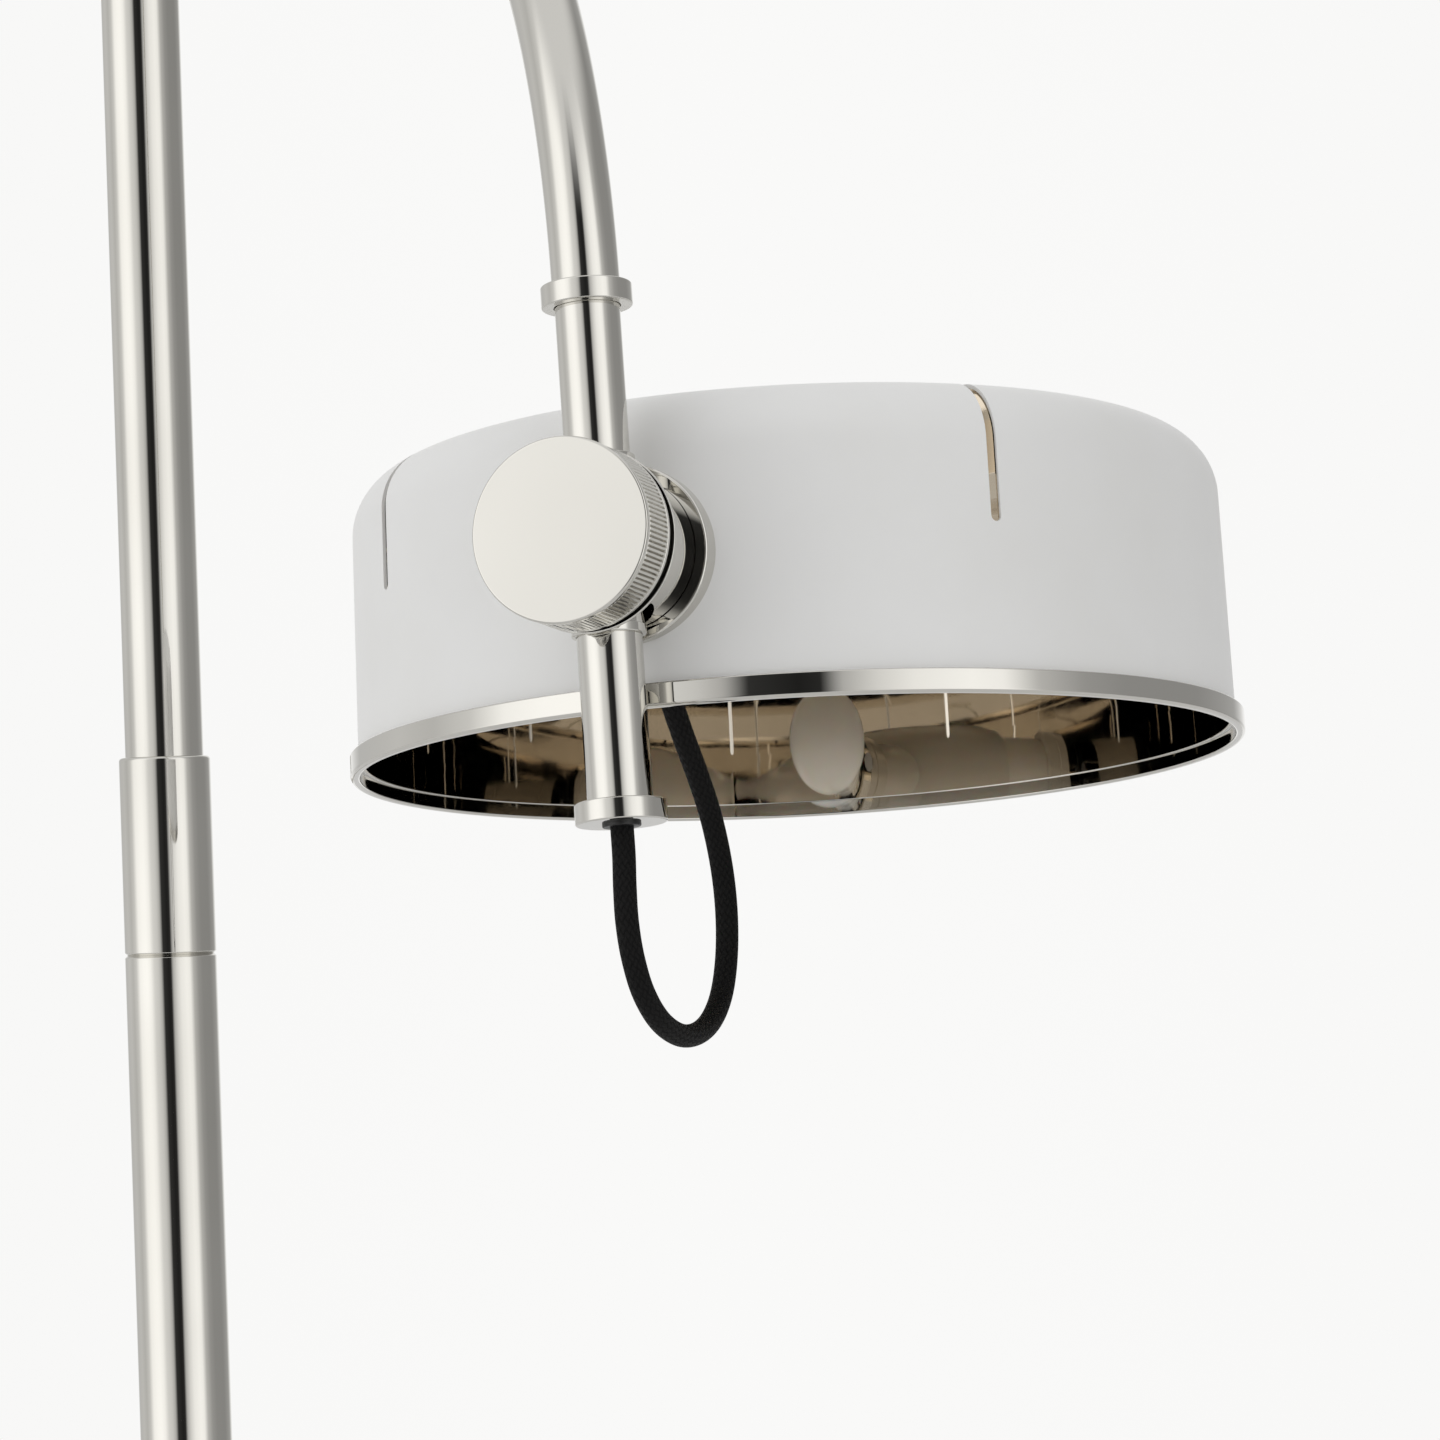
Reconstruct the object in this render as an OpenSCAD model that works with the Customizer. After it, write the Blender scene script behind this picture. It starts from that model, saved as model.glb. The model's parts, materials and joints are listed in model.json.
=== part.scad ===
// Arc floor lamp: weighted round base, two-part post, arched arm and a drum shade
// that slides, swivels and tilts on a short tube at the arm's end.
// The origin is the middle of the base's underside, +Z is up, the arm reaches along +X.

/* [Base] */
// Diameter of the round base
base_d = 380; // [340:5:440]
// Thickness of the cast weight
weight_h = 22; // [18:1:30]

/* [Post] */
// Outer diameter of the lower post and its coupler
lower_post_d = 44.5; // [42:0.5:50]
// Outer diameter of the upper post
upper_post_d = 38.1; // [34:0.1:40]
// Height of the joint between lower post and coupler, below the arm's end
joint_drop = 223.5; // [200:0.5:400]
// Length of the coupler that shows between the two posts
coupler_len = 96.5; // [70:0.5:120]

/* [Arm] */
// Horizontal reach from the post to the arm's end
reach = 904; // [860:1:960]
// Height of the arm's end above the floor
arm_end_z = 1560; // [1450:5:1650]
// Outer diameter of the arm
arm_d = 22; // [20:0.5:25]
// How far the arm's end stops short of plumb, in degrees
arm_lean = 7.7; // [0:0.1:12]
// Bend radius where the arm leaves the post
post_bend_r = 150; // [120:5:200]
// Angle that the bend above the post turns through
post_bend_turn = 100; // [95:1:105]
// Bend radius at the arm's end
end_bend_r = 200; // [170:5:230]
// Angle that the bend at the arm's end turns through
end_bend_turn = 38; // [34:1:44]

/* [Head] */
// Outer diameter of the short tube that carries the shade
head_tube_d = 21; // [19:0.5:21]
// Distance from the collar's middle down to the end cap
head_tube_len = 163.5; // [150:0.5:180]
// Distance from the collar's middle down to the knob's axis
knob_drop = 81.5; // [70:0.5:95]
// Swing of the shade about the head tube, away from the arm's plane
head_swing = 35.6; // [-90:0.1:90]
// Diameter of the collar and of the end cap
collar_d = 29.4; // [27:0.2:32]
// Diameter of the clamp knob
knob_d = 59.4; // [56:0.2:64]
// Number of ridges around the knob
knob_ridges = 120; // [60:10:140]

/* [Shade] */
// Outer diameter of the shade's wall just above the rim
shade_d = 304; // [290:1:310]
// Height of the shade from the rim's lower edge
shade_h = 106; // [98:1:116]
// Radius of the rounded shoulder
shoulder_r = 22; // [16:1:28]
// Lean of the wall towards the top, in degrees
wall_lean = 0.8; // [0:0.1:2]
// Distance from the head tube's axis to the shade's axis
shade_offset = 172; // [171:0.5:178]
// Height of the knob's axis above the rim's lower edge
boss_height = 50.3; // [46:0.1:54]
// Tilt of the shade about the knob's axis
shade_tilt = 1.1; // [-10:0.1:10]
// Width of each slot
slot_w = 3.6; // [2:0.2:6]
// Height of the slots' lower ends above the rim's lower edge
slot_z = 56.6; // [50:0.2:70]

/* [Cord] */
// Diameter of the fabric-covered cord
cord_d = 7.5; // [6:0.5:8]

/* [Hidden] */

$fn = 96;
eps = 0.01;
tube_wall = 1.5;

// Base
pad_h = 2;
weight_d = base_d - 8;
cover_t = 1.2;
cover_top = pad_h + weight_h + cover_t;
cover_edge_r = 6;
pipe_r = 10;
pipe_bore_r = 6;
recess_r = 28;
recess_h = 14;
lead_groove_w = 13;
lead_z = 9;

// Post
joint_z = arm_end_z - joint_drop;
coupler_top = joint_z + coupler_len;
lower_post_ir = lower_post_d / 2 - tube_wall;
upper_post_ir = upper_post_d / 2 - tube_wall;
joint_chamfer = 1.2;
plug_h = 40;
seat_h = 6;

// Arm: three arcs that run into each other, turning from straight up to almost straight down
turn_a = post_bend_turn;
turn_c = 180 - arm_lean;
turn_b = turn_c - end_bend_turn;
crown_r = (reach - post_bend_r * (1 - cos(turn_a)) - end_bend_r * (cos(turn_b) - cos(turn_c)))
    / (cos(turn_a) - cos(turn_b));
arch_rise = post_bend_r * sin(turn_a) + crown_r * (sin(turn_b) - sin(turn_a))
    + end_bend_r * (sin(turn_c) - sin(turn_b));
arm_start_z = arm_end_z - arch_rise;
arm_straight = 45;
post_top = arm_start_z - arm_straight;
arm_seat = 36;
bend_step = 0.05;
bend_lap = 1;
post_bend_mid = [post_bend_r, arm_start_z];
crown_mid = post_bend_mid + (crown_r - post_bend_r) * [cos(turn_a), -sin(turn_a)];
end_bend_mid = crown_mid + (end_bend_r - crown_r) * [cos(turn_b), -sin(turn_b)];
crown_lap = bend_lap / crown_r * 180 / PI;
arm_ir = arm_d / 2 - tube_wall;
cap_ring_h = 8;
cap_screw_r = 2;
cable_r = 3.75;

// Head tube, in a frame whose origin is the collar's middle and whose +Z runs up the tube
collar_h = 7.2;
collar_recess = 1.5;
head_tube_ir = head_tube_d / 2 - tube_wall;
head_tube_top = -2.5;
arm_tube_end = -2.1;
spindle_r = 6;
spindle_bore_r = 4.5;
spindle_low = -32;
bush_low = -24;
cap_h = 7;
cord_bush_lip = 1;
edge = 0.5;

// Clamp, in a frame whose origin is where the tube's axis meets the knob's axis, +X to the shade
run_fit = 0.05;
gap = 0.3;
tube_r = head_tube_d / 2;
barrel_r = 25;
barrel_back = -12;
barrel_front = 15.4;
barrel_hole_r = 14.8;
barrel_hole_z = 14;
spigot_r = 20;
spigot_end = 18.5;
flange_t = 1.2;
knob_gap = 4;
knob_t = 19.2;
knob_back = barrel_back - flange_t - knob_gap;
knob_face = knob_back - knob_t;
knob_plate = 6;
screw_r = 4;
hub_r = 10;
hub_end = -27;
bush_r = 11.5;
bush_out = 26;
bush_lip_r = 12;
bush_lip_end = 29;
pivot_r = 7;
pivot_bore_r = 4.75;
boss_front = barrel_front + 0.7;
boss_r = 29.2;
boss_floor = spigot_end + gap;
cup_r = 17;
cup_start = 31.4;
cup_end = 52;
gland_x = 43.5;
gland_low = -33.5;

// Shade, in a frame whose origin is the rim's lower edge at the shade's axis, boss towards -X
shell_t = 1.2;
liner_t = 0.8;
skin_low = 5.5;
ring_h = 8;
ring_r = shade_d / 2 + 3;
shoulder_z = shade_h - shoulder_r;
wall_r = shade_d / 2;
shoulder_wall_r = wall_r - (shoulder_z - skin_low) * tan(wall_lean);
slot_inner_r = 100;
slot_turn = 1.5;
shoulder_steps = 10;

// The cord's loop, as [towards the shade, up the tube] points in the head tube's frame
cord_route = [
    [0, -171.5], [0, -181], [-1, -191], [-1, -202], [2, -213], [9, -223.5], [21.5, -231.5],
    [38, -235], [54, -233.5], [68, -228], [79, -218.5], [86, -205], [88.5, -190],
    [86.5, -175], [80, -160], [70, -147], [59.5, -135.5], [50.5, -124.5], [43.5, -115]
];
cord_sides = 12;

// ---- placing ----

module head_frame() {
    translate([reach, 0, arm_end_z])
        rotate([0, -arm_lean, 0])
            rotate([0, 0, 180 - head_swing])
                children();
}

module clamp_frame() {
    head_frame()
        translate([0, 0, -knob_drop])
            children();
}

module shade_frame() {
    clamp_frame()
        rotate([shade_tilt, 0, 0])
            translate([shade_offset, 0, -boss_height])
                children();
}

// ---- shared shapes ----

module ring(outer_r, inner_r, low, high) {
    translate([0, 0, low])
        difference() {
            cylinder(r = outer_r, h = high - low);
            translate([0, 0, -1])
                cylinder(r = inner_r, h = high - low + 2);
        }
}

module rod(r, low, high) {
    translate([0, 0, low])
        cylinder(r = r, h = high - low);
}

module chamfered_ring(outer_r, inner_r, low, high, c) {
    rotate_extrude()
        polygon([
            [inner_r, low], [outer_r - c, low], [outer_r, low + c],
            [outer_r, high - c], [outer_r - c, high], [inner_r, high]
        ]);
}

// A solid of revolution or a rod along X instead of Z
module along_x() {
    rotate([0, 90, 0])
        children();
}

// An arc of rod in the XZ plane, between two headings measured from +Z
module arc_rod(mid, from, to, bend_r, r) {
    translate([mid.x, 0, mid.y])
        rotate([90, 0, 0])
            rotate([0, 0, 180 - to])
                rotate_extrude(angle = to - from)
                    translate([bend_r, 0])
                        circle(r = r);
}

// The arm's run from a height in the post to the collar; the two tight bends are a hair thicker,
// and the lengths between them run on into the bends
module arm_run(r, low) {
    rod(r, low, arm_start_z + bend_lap);
    arc_rod(post_bend_mid, 0, turn_a, post_bend_r, r + bend_step);
    arc_rod(crown_mid, turn_a - crown_lap, turn_b + crown_lap, crown_r, r);
    arc_rod(end_bend_mid, turn_b, turn_c, end_bend_r, r + bend_step);
    head_frame()
        rod(r, arm_tube_end, bend_lap);
}

// The shade's skin, at a depth below its outer surface, from the rim up to the middle of the top
function shade_line(depth) = concat(
    [[wall_r - depth, skin_low]],
    [
        for (i = [0:shoulder_steps])
            let (a = 90 * i / shoulder_steps)
                [
                    shoulder_wall_r - shoulder_r + (shoulder_r - depth) * cos(a),
                    shoulder_z + (shoulder_r - depth) * sin(a)
                ]
    ],
    [[0, shade_h - depth]]
);

function reversed(list) = [for (i = [len(list) - 1:-1:0]) list[i]];

module shade_skin(outer_depth, inner_depth) {
    rotate_extrude($fn = 180)
        polygon(concat(shade_line(outer_depth), reversed(shade_line(inner_depth))));
}

module shade_solid(depth) {
    rotate_extrude($fn = 360)
        polygon(concat(shade_line(depth), [[0, skin_low]]));
}

module slots() {
    for (i = [0:3])
        rotate([0, 0, 45 + slot_turn + 90 * i]) {
            translate([slot_inner_r, -slot_w / 2, slot_z + slot_w / 2])
                cube([wall_r, slot_w, shade_h]);
            translate([slot_inner_r, 0, slot_z + slot_w / 2])
                along_x()
                    cylinder(d = slot_w, h = wall_r);
        }
}

// A hole along the knob's axis, through the wall on the boss's side
module boss_hole(r) {
    translate([-wall_r - 20, 0, boss_height])
        along_x()
            cylinder(r = r, h = 40);
}

// ---- base ----

module base_weight() {
    color("dimgray")
        difference() {
            rotate_extrude()
                polygon([
                    [0, pad_h], [weight_d / 2 - 2, pad_h], [weight_d / 2, pad_h + 2],
                    [weight_d / 2, pad_h + weight_h - 8], [weight_d / 2 - 8, pad_h + weight_h],
                    [0, pad_h + weight_h]
                ]);
            rod(pipe_r + run_fit, -1, 60);
            rod(recess_r, -1, pad_h + recess_h);
            translate([-base_d, -lead_groove_w / 2, -1])
                cube([base_d, lead_groove_w, pad_h + recess_h + 1]);
        }
}

module base_cover() {
    outer = base_d / 2;
    top = cover_top;
    inner = outer - cover_t;
    r_in = cover_edge_r - cover_t;
    color("gainsboro")
        difference() {
            rotate_extrude()
                polygon(concat(
                    [[outer, pad_h + 1]],
                    [for (a = [0:15:90])
                        [outer - cover_edge_r + cover_edge_r * cos(a),
                         top - cover_edge_r + cover_edge_r * sin(a)]],
                    [[pipe_r + 1, top], [pipe_r + 1, top - cover_t]],
                    [for (a = [90:-15:0])
                        [outer - cover_edge_r + r_in * cos(a),
                         top - cover_edge_r + r_in * sin(a)]],
                    [[inner, pad_h + 1]]
                ));
            translate([-outer, 0, lead_z + 1])
                along_x()
                    cylinder(r = 6, h = 40, center = true);
        }
}

module base_pad() {
    color("black")
        difference() {
            ring(weight_d / 2 - 4, weight_d / 2 - 60, 0, pad_h);
            translate([-base_d, -lead_groove_w / 2, -1])
                cube([base_d, lead_groove_w, pad_h + 2]);
        }
}

module base_washer() {
    color("silver")
        ring(24, pipe_r + run_fit, pad_h + recess_h - 3, pad_h + recess_h);
}

module base_nut() {
    color("silver")
        difference() {
            translate([0, 0, pad_h + recess_h - 11])
                cylinder(d = 34 / cos(30), h = 8, $fn = 6);
            rod(pipe_r, 0, 60);
        }
}

module inlet_gland() {
    color("black")
        translate([-base_d / 2, 0, lead_z + 1])
            along_x() {
                ring(6, 3.9, -4, 4);
                ring(7.5, 3.9, -4, -0.4);
            }
}

module tie_pipe() {
    color("goldenrod")
        ring(pipe_r, pipe_bore_r, pad_h + recess_h - 12, cover_top + plug_h);
}

module post_plug() {
    color("goldenrod")
        ring(lower_post_ir, pipe_r, cover_top, cover_top + plug_h - 4);
}

module post_foot() {
    color("gainsboro")
        rotate_extrude()
            polygon(concat(
                [[lower_post_d / 2, cover_top], [36, cover_top], [36, cover_top + 4]],
                [for (a = [0:18:90])
                    [36 - 10 * sin(a), cover_top + 14 - 10 * cos(a)]],
                [[lower_post_d / 2, cover_top + 14]]
            ));
}

// ---- post ----

module lower_post() {
    color("gainsboro")
        rotate_extrude()
            polygon([
                [lower_post_ir, cover_top], [lower_post_d / 2, cover_top],
                [lower_post_d / 2, joint_z - joint_chamfer],
                [lower_post_d / 2 - joint_chamfer, joint_z], [lower_post_ir, joint_z]
            ]);
}

module post_coupler() {
    outer = lower_post_d / 2;
    bore = upper_post_d / 2;
    color("gainsboro")
        rotate_extrude()
            polygon(concat(
                [[upper_post_ir, joint_z - plug_h], [lower_post_ir, joint_z - plug_h],
                 [lower_post_ir, joint_z], [outer - joint_chamfer, joint_z],
                 [outer, joint_z + joint_chamfer]],
                [for (a = [0:22.5:90])
                    [outer - 1.8 + 1.8 * cos(a), coupler_top - 1.8 + 1.8 * sin(a)]],
                [[bore, coupler_top], [bore, joint_z + seat_h], [upper_post_ir, joint_z + seat_h]]
            ));
}

module upper_post() {
    color("gainsboro")
        ring(upper_post_d / 2, upper_post_ir, joint_z + seat_h, post_top);
}

module post_cap() {
    lip_r = upper_post_d / 2 + 3;
    color("gainsboro")
        difference() {
            translate([0, 0, post_top])
                rotate_extrude()
                    polygon([
                        [cable_r + 1.5, -plug_h], [upper_post_ir, -plug_h], [upper_post_ir, 0],
                        [lip_r - edge, 0], [lip_r, edge], [lip_r, cap_ring_h - 1.5],
                        [lip_r - 1.5, cap_ring_h], [arm_d / 2, cap_ring_h],
                        [arm_d / 2, -arm_seat], [cable_r + 1.5, -arm_seat]
                    ]);
            translate([0, 0, post_top + cap_ring_h / 2])
                rotate([90, 0, 0])
                    rod(cap_screw_r, -40, 40);
        }
}

module cap_screws() {
    color("silver")
        translate([0, 0, post_top + cap_ring_h / 2])
            for (side = [90, 270])
                rotate([side, 0, 0])
                    rod(cap_screw_r, arm_d / 2, upper_post_d / 2 + 2);
}

// ---- arm ----

module arm_tube() {
    color("gainsboro")
        difference() {
            arm_run(arm_d / 2, post_top - arm_seat);
            arm_run(arm_ir, post_top - arm_seat);
        }
}

module feed_cable() {
    color("black") {
        arm_run(cable_r, pad_h + recess_h - 12);
        head_frame()
            rod(cable_r - bend_step, spindle_low, 0);
    }
}

module arm_collar() {
    color("gainsboro")
        head_frame()
            difference() {
                chamfered_ring(collar_d / 2, 9, -collar_h / 2, collar_h / 2, edge);
                rod(arm_d / 2 + 2 * bend_step, arm_tube_end, 10);
                rod(head_tube_d / 2 + gap, -10, arm_tube_end);
            }
}

module swivel_spindle() {
    color("goldenrod")
        head_frame() {
            ring(arm_ir - 0.3, spindle_bore_r, arm_tube_end, 10);
            ring(spindle_r, spindle_bore_r, spindle_low, arm_tube_end);
        }
}

module spindle_nut() {
    color("goldenrod")
        head_frame()
            ring(8, spindle_r, bush_low - 6.4, bush_low - 0.4);
}

// ---- head tube ----

module head_tube() {
    color("gainsboro")
        head_frame()
            ring(head_tube_d / 2, head_tube_ir, -head_tube_len, head_tube_top);
}

module swivel_bush() {
    color("ivory")
        head_frame()
            ring(head_tube_ir, spindle_r + run_fit, bush_low, head_tube_top);
}

module end_cap() {
    color("gainsboro")
        head_frame()
            difference() {
                union() {
                    chamfered_ring(collar_d / 2, 5, -head_tube_len - cap_h, -head_tube_len, edge);
                    ring(head_tube_ir, 5, -head_tube_len - 1, -head_tube_len + 10);
                }
                rod(5, -head_tube_len - 20, -head_tube_len + 20);
            }
}

module cord_bush() {
    low = -head_tube_len - cap_h;
    color("black")
        head_frame() {
            ring(5, cable_r, low, low + 6);
            ring(6.2, cable_r, low - cord_bush_lip, low);
        }
}

module tube_cable() {
    color("black")
        head_frame()
            rod(cable_r, -head_tube_len - cap_h - cord_bush_lip, spindle_low - 1);
}

// ---- clamp ----

module clamp_barrel() {
    color("gainsboro")
        clamp_frame()
            difference() {
                along_x() {
                    rod(barrel_r, barrel_back, barrel_front);
                    rod(spigot_r, barrel_front, spigot_end);
                }
                rod(tube_r + gap, -40, 40);
                for (up = [0, 180])
                    rotate([up, 0, 0])
                        rod(barrel_hole_r, barrel_hole_z, 40);
                along_x()
                    rod(screw_r + gap, -20, 0);
                along_x()
                    rod(pivot_r, 11.4, 30);
            }
}

module tube_bushes() {
    color("gainsboro")
        clamp_frame()
            for (up = [0, 180])
                rotate([up, 0, 0]) {
                    ring(bush_r, tube_r + run_fit, barrel_hole_z, bush_out);
                    ring(bush_lip_r, tube_r + run_fit, bush_out, bush_lip_end);
                }
}

module clamp_flange() {
    color("gainsboro")
        clamp_frame()
            along_x()
                difference() {
                    union() {
                        rod(knob_d / 2, barrel_back - flange_t, barrel_back);
                        rod(hub_r, hub_end, barrel_back - flange_t);
                    }
                    rod(screw_r + run_fit, hub_end - 1, 0);
                }
}

module clamp_pad() {
    color("goldenrod")
        clamp_frame()
            along_x()
                rod(screw_r, barrel_back, -tube_r - gap);
}

module friction_washer() {
    color("black")
        clamp_frame()
            along_x()
                ring(barrel_r - 0.5, spigot_r + 0.1, barrel_front, boss_front - gap);
}

module pivot_tube() {
    color("silver")
        clamp_frame()
            along_x()
                ring(pivot_r, pivot_bore_r, 11.4, cup_start + 4);
}

module spring_washer() {
    color("silver")
        clamp_frame()
            along_x()
                ring(11, pivot_r, 25.9, 27);
}

module pivot_nut() {
    color("silver")
        clamp_frame()
            along_x()
                difference() {
                    translate([0, 0, 27])
                        cylinder(d = 22, h = cup_start - 27, $fn = 6);
                    rod(pivot_r, 20, 40);
                }
}

module holder_cup() {
    color("gainsboro")
        clamp_frame()
            difference() {
                along_x()
                    difference() {
                        rod(cup_r, cup_start, cup_end);
                        rod(cup_r - 1.5, cup_start + 2, cup_end + 1);
                        rod(pivot_r, cup_start - 1, cup_start + 5);
                    }
                translate([gland_x, 0, 0])
                    rod(4.4, -30, 0);
            }
}

module cord_gland() {
    color("black")
        clamp_frame()
            translate([gland_x, 0, 0])
                rotate_extrude()
                    polygon([
                        [0, gland_low], [4.6, gland_low], [6.2, -20], [6.2, -cup_r],
                        [4.4, -cup_r], [4.4, -12], [0, -12]
                    ]);
}

module lampholder() {
    color("white")
        clamp_frame()
            along_x()
                difference() {
                    union() {
                        rod(cup_r - 1.5, cup_end - 3.7, cup_end);
                        rod(cup_r, cup_end, cup_end + 26);
                    }
                    rod(13.3, cup_end - 1.5, cup_end + 30);
                }
}

module lamp_cap() {
    color("silver")
        clamp_frame()
            along_x()
                rod(13, cup_end - 1, cup_end + 24);
}

module lamp_glass() {
    start = cup_end + 24;
    globe_r = 22.5;
    globe_x = start + 42;
    color("white")
        clamp_frame()
            along_x()
                rotate_extrude()
                    polygon(concat(
                        [[0, start], [13, start], [14, start + 8]],
                        [for (a = [-50:20:90])
                            [max(0, globe_r * cos(a)), globe_x + globe_r * sin(a)]]
                    ));
}

// ---- knob ----

module clamp_knob() {
    r = knob_d / 2;
    color("gainsboro")
        clamp_frame()
            along_x()
                difference() {
                    union() {
                        translate([0, 0, knob_face])
                            cylinder(r1 = r - 0.9, r2 = r - 0.1, h = 1);
                        translate([0, 0, knob_face + 1])
                            linear_extrude(height = knob_t - 2.2)
                                knurl(r, knob_ridges);
                        rod(r - 0.1, knob_back - 1.2, knob_back);
                    }
                    rod(21, knob_face + knob_plate, knob_back + 1);
                    rod(screw_r, knob_face + 2, 0);
                }
}

module knurl(r, ridges) {
    polygon([
        for (i = [0:2 * ridges - 1])
            let (a = 180 * i / ridges, tip = r - (i % 2) * 0.6)
                [tip * cos(a), tip * sin(a)]
    ]);
}

module knob_screw() {
    color("silver")
        clamp_frame()
            along_x()
                rod(screw_r, knob_face + 2, barrel_back - 2 * gap);
}

module knob_ring() {
    color("black")
        clamp_frame()
            along_x()
                ring(25.5, 21, knob_back, barrel_back - flange_t - gap);
}

// ---- shade ----

module shade_boss() {
    color("gainsboro")
        shade_frame()
            difference() {
                translate([-shade_offset, 0, boss_height])
                    along_x()
                        difference() {
                            union() {
                                translate([0, 0, boss_front])
                                    cylinder(r1 = boss_r - 0.6, r2 = boss_r, h = 0.6);
                                rod(boss_r, boss_front + 0.6, 30);
                            }
                            rod(spigot_r + run_fit, 0, boss_floor);
                            rod(pivot_r + run_fit, 0, 40);
                        }
                shade_solid(0);
                boss_screw_holes(2);
            }
}

module boss_screw_holes(r) {
    for (side = [0, 180])
        translate([-shade_offset, 0, boss_height])
            rotate([side + 90, 0, 0])
                translate([0, 0, 24])
                    along_x()
                        rod(r, 18, 30);
}

module boss_screws() {
    color("silver")
        shade_frame()
            for (side = [0, 180])
                translate([-shade_offset, 0, boss_height])
                    rotate([side + 90, 0, 0])
                        translate([0, 0, 24])
                            along_x() {
                                rod(2, 18, 25.7);
                                rod(4, 25.7, 28);
                            }
}

module shade_shell() {
    color("whitesmoke")
        shade_frame()
            difference() {
                shade_skin(0, shell_t);
                slots();
                boss_hole(pivot_r + run_fit);
                boss_screw_holes(2);
            }
}

module shade_liner() {
    color("tan")
        shade_frame()
            difference() {
                shade_skin(shell_t, shell_t + liner_t);
                slots();
                boss_hole(pivot_r + run_fit);
                boss_screw_holes(2);
            }
}

module rim_ring() {
    seat_r = wall_r + 0.05;
    lip_r = wall_r - 0.4;
    outer_round = 1.4;
    inner_round = 0.8;
    color("gainsboro")
        shade_frame()
            rotate_extrude()
                polygon(concat(
                    [[seat_r, ring_h], [ring_r - 0.5, ring_h], [ring_r, ring_h - 0.5]],
                    [for (a = [0:-22.5:-90])
                        [ring_r - outer_round + outer_round * cos(a),
                         outer_round + outer_round * sin(a)]],
                    [for (a = [-90:-30:-180])
                        [lip_r + inner_round + inner_round * cos(a),
                         inner_round + inner_round * sin(a)]],
                    [[lip_r, skin_low], [seat_r, skin_low]]
                ));
}

module wall_saddle() {
    color("silver")
        shade_frame()
            difference() {
                intersection() {
                    translate([-shade_offset, 0, boss_height])
                        along_x()
                            rod(13, 10, 25.6);
                    shade_solid(shell_t + liner_t);
                }
                boss_hole(pivot_r + run_fit);
            }
}

// ---- cord ----

function cord_heading(i) =
    let (
        last = len(cord_route) - 1,
        d = cord_route[min(i + 1, last)] - cord_route[max(i - 1, 0)]
    )
    i == 0 || i == last ? [0, i == 0 ? -1 : 1] : d / norm(d);

function cord_ring(i) =
    let (p = cord_route[i], h = cord_heading(i), side = [-h.y, h.x])
    [
        for (k = [0:cord_sides - 1])
            let (a = 360 * k / cord_sides, u = cord_d / 2 * cos(a), v = cord_d / 2 * sin(a))
                [p.x + side.x * u, v, p.y + side.y * u]
    ];

module lamp_cord() {
    count = len(cord_route);
    rings = [for (i = [0:count - 1]) each cord_ring(i)];
    walls = [
        for (i = [0:count - 2], k = [0:cord_sides - 1])
            let (a = i * cord_sides + k, b = i * cord_sides + (k + 1) % cord_sides)
                [a, b, b + cord_sides, a + cord_sides]
    ];
    first_end = [for (k = [cord_sides - 1:-1:0]) k];
    last_end = [for (k = [0:cord_sides - 1]) (count - 1) * cord_sides + k];
    color("black")
        head_frame()
            polyhedron(points = rings, faces = concat(walls, [first_end, last_end]));
}

base_weight();
base_cover();
base_pad();
base_washer();
base_nut();
inlet_gland();
tie_pipe();
post_plug();
post_foot();
lower_post();
post_coupler();
upper_post();
post_cap();
cap_screws();
arm_tube();
feed_cable();
arm_collar();
swivel_spindle();
spindle_nut();
head_tube();
swivel_bush();
end_cap();
cord_bush();
tube_cable();
clamp_barrel();
tube_bushes();
clamp_flange();
clamp_pad();
friction_washer();
pivot_tube();
spring_washer();
pivot_nut();
holder_cup();
cord_gland();
lampholder();
lamp_cap();
lamp_glass();
clamp_knob();
knob_screw();
knob_ring();
shade_boss();
shade_shell();
shade_liner();
rim_ring();
wall_saddle();
boss_screws();
lamp_cord();
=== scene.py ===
"""Arc floor lamp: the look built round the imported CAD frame. Lengths below are in millimetres."""
import json
import math

import bmesh
import bpy
from mathutils import Matrix, Vector


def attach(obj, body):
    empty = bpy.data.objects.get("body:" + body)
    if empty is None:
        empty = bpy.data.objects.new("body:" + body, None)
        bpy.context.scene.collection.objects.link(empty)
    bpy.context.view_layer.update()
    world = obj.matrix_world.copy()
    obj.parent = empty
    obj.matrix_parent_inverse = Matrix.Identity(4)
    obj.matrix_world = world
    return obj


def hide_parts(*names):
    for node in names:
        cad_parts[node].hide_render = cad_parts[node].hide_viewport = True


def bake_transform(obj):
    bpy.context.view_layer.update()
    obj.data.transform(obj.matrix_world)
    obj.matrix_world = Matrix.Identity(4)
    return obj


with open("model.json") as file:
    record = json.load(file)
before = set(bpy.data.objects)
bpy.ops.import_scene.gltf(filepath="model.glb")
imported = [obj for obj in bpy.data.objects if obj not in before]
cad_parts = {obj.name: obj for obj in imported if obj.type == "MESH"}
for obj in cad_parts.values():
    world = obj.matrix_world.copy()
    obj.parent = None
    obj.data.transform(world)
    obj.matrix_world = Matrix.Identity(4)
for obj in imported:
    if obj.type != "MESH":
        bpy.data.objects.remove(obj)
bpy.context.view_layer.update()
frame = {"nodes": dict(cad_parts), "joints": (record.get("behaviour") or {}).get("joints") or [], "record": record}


MM = 0.001

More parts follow.
